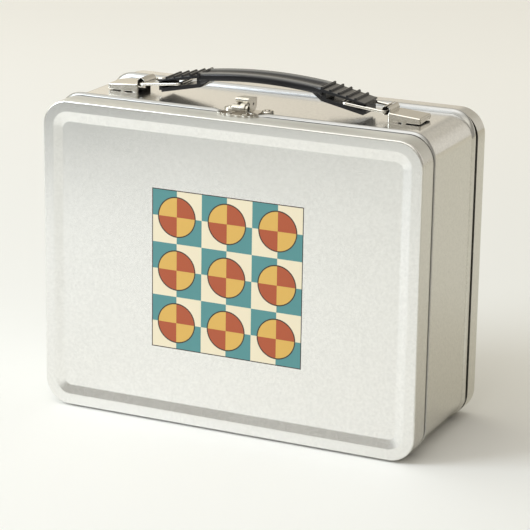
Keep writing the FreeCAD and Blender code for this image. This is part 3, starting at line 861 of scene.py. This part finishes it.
softened("handle_grip", "grip_moulding", width=0.3, beyond=PAD_EDGE_START)
for side in ("left", "right"):
    softened("bail_" + side, "wire_bail_" + side, width=0)
    softened("handle_bracket_" + side, "bracket_cap_" + side, width=0.16)
softened("latch_keeper", "keeper_dish", width=0.2)
softened("latch_base", "latch_plate", width=0.15)
softened("latch_lever", "claw_lever", width=0.15)
softened("latch_pin", "pivot_tube", width=0.08)

for node, piece in frame["nodes"].items():
    if not piece.hide_render:
        piece.data.materials.clear()
        piece.data.materials.append(finishes[node_slots[node]])

# Stage: floor, world, lamps and camera. Places and sizes of the stage are in metres.
FLOOR_HALF = 6.0
# The rims stand a hair above the floor, which gives the thin shadow under them; in millimetres
FLOOR_DROP = 0.9
FLOOR = (0.88, 0.875, 0.86)
# Painted light: towards the back the floor is a little lighter; the reach is in millimetres along the line
FLOOR_FAR = (1.0, 0.985, 0.965)
FAR_LINE = (-0.35, 0.94, 0)
FAR_REACH = (150.0, 1000.0)
# Painted shade on the floor that only the metal's reflections show: direction, start and end in millimetres
# along it, tint
FLOOR_TINTS = (
    ((-0.80, -0.60, 0), 600.0, 730.0, (0.19, 0.185, 0.175)),
    ((0.70, 0.70, 0), -40.0, 160.0, (0.75, 0.73, 0.67)),
    ((0.60, -0.80, 0), 120.0, 330.0, (0.95, 0.95, 0.94)),
)
WORLD_BASE = (0.29, 0.275, 0.24)
# Soft patches of the room: direction, cosines of their edge and their full part, colour
WORLD_PATCHES = (
    ((-0.62, 0.75, 0.24), 0.88, 0.99, (0.54, 0.49, 0.40)),
    ((0.20, 0.90, 0.25), 0.80, 0.98, (0.27, 0.25, 0.21)),
    ((0.50, 0.86, 0.04), 0.86, 0.99, (0.14, 0.14, 0.14)),
    ((-0.15, -0.40, 0.90), 0.50, 0.95, (0.80, 0.78, 0.70)),
    ((-1.00, 0.20, 0.30), 0.60, 0.97, (0.50, 0.50, 0.40)),
)
# Patches that only the metal mirrors
MIRROR_PATCHES = (
    ((-0.15, 0.25, 0.95), 0.74, 0.93, (0.52, 0.51, 0.49)),
)
# Soft boxes: name, place, point that they face, size, power and colour
SOFT_BOXES = (
    ("key", (-1.30, -1.03, 1.07), (0, 0, 0.05), (0.9, 0.9), 18.5, (0.80, 0.90, 1.0)),
    ("front_fill", (-0.05, -0.40, 0.95), (0, -0.16, 0), (0.5, 0.5), 1.0, (0.95, 0.97, 1.0)),
    ("left_fill", (-1.30, -0.95, 0.45), (0, 0, 0.10), (0.6, 0.5), 2.5, (0.90, 0.95, 1.0)),
)
# Camera at the photograph's place: azimuth, elevation and roll in degrees, lens and sensor in millimetres
CAMERA_PLACE = (0.51426, -1.11341, 0.44171)
CAMERA_ANGLES = (24.705, 16.414, 0.912)
LENS = 161.6
SENSOR_WIDTH = 36


def pale_floor():
    material, shader = new_material("pale_floor")
    mirrored = shader.node("ShaderNodeLightPath", output="Is Glossy Ray")
    place = shader.place()
    # Painted light, lighter towards the back
    colour = shader.mix(shader.soft_edge(shader.along(place, FAR_LINE), *FAR_REACH), FLOOR, FLOOR_FAR)
    # Painted shade that only reflections see
    for direction, start, end, tint in FLOOR_TINTS:
        share = shader.soft_edge(shader.along(place, direction), start, end)
        colour = shader.mix(mirrored * share, colour, tint, "MULTIPLY")
    shader.surface({"Base Color": colour, "Roughness": 0.9, "Specular IOR Level": 0.1})
    half = FLOOR_HALF / MM
    corners = [(x * half, y * half, -FLOOR_DROP) for x, y in ((-1, -1), (1, -1), (1, 1), (-1, 1))]
    floor = mesh_piece("floor", corners, [(0, 1, 2, 3)])
    floor.data.materials.append(material)


def studio_world():
    world = bpy.data.worlds.new("studio")
    world.use_nodes = True
    bpy.context.scene.world = world
    shader = Shader(world.node_tree)
    direction = shader.node("ShaderNodeTexCoord", output="Generated")
    mirrored = shader.node("ShaderNodeLightPath", output="Is Glossy Ray")
    room = WORLD_BASE
    for patches, seen_by in ((WORLD_PATCHES, 1.0), (MIRROR_PATCHES, mirrored)):
        for axis, edge, full, colour in patches:
            share = shader.soft_edge(shader.along(direction, axis), edge, full)
            room = shader.mix(share * seen_by, room, colour, "ADD")
    seen = shader.node("ShaderNodeLightPath", output="Is Camera Ray")
    colour = shader.mix(seen, room, FLOOR)
    back = shader.node("ShaderNodeBackground", sockets={"Color": colour, "Strength": 1.0})
    shader.node("ShaderNodeOutputWorld", sockets={"Surface": back})


def soft_box(name, place, aim, size, power, colour):
    data = bpy.data.lights.new(name, "AREA")
    data.shape = "RECTANGLE"
    data.size, data.size_y = size
    data.energy = power
    data.color = colour
    lamp = linked(name, data)
    lamp.location = place
    lamp.rotation_euler = (Vector(aim) - Vector(place)).to_track_quat("-Z", "Y").to_euler()


def photo_camera():
    azimuth, elevation, roll = (math.radians(angle) for angle in CAMERA_ANGLES)
    right = Vector((math.cos(azimuth), math.sin(azimuth), 0))
    level = Vector((math.sin(azimuth), -math.cos(azimuth), 0))
    back = level * math.cos(elevation) + Vector((0, 0, math.sin(elevation)))
    up = back.cross(right)
    turned_right = right * math.cos(roll) + up * math.sin(roll)
    turned_up = up * math.cos(roll) - right * math.sin(roll)
    data = bpy.data.cameras.new("photo_camera")
    data.sensor_width = SENSOR_WIDTH
    data.lens = LENS
    camera = linked("photo_camera", data)
    turn = Matrix((turned_right, turned_up, back)).transposed()
    camera.matrix_world = Matrix.Translation(CAMERA_PLACE) @ turn.to_4x4()
    bpy.context.scene.camera = camera


pale_floor()
studio_world()
for box in SOFT_BOXES:
    soft_box(*box)
photo_camera()
bpy.context.scene.view_settings.view_transform = "Standard"
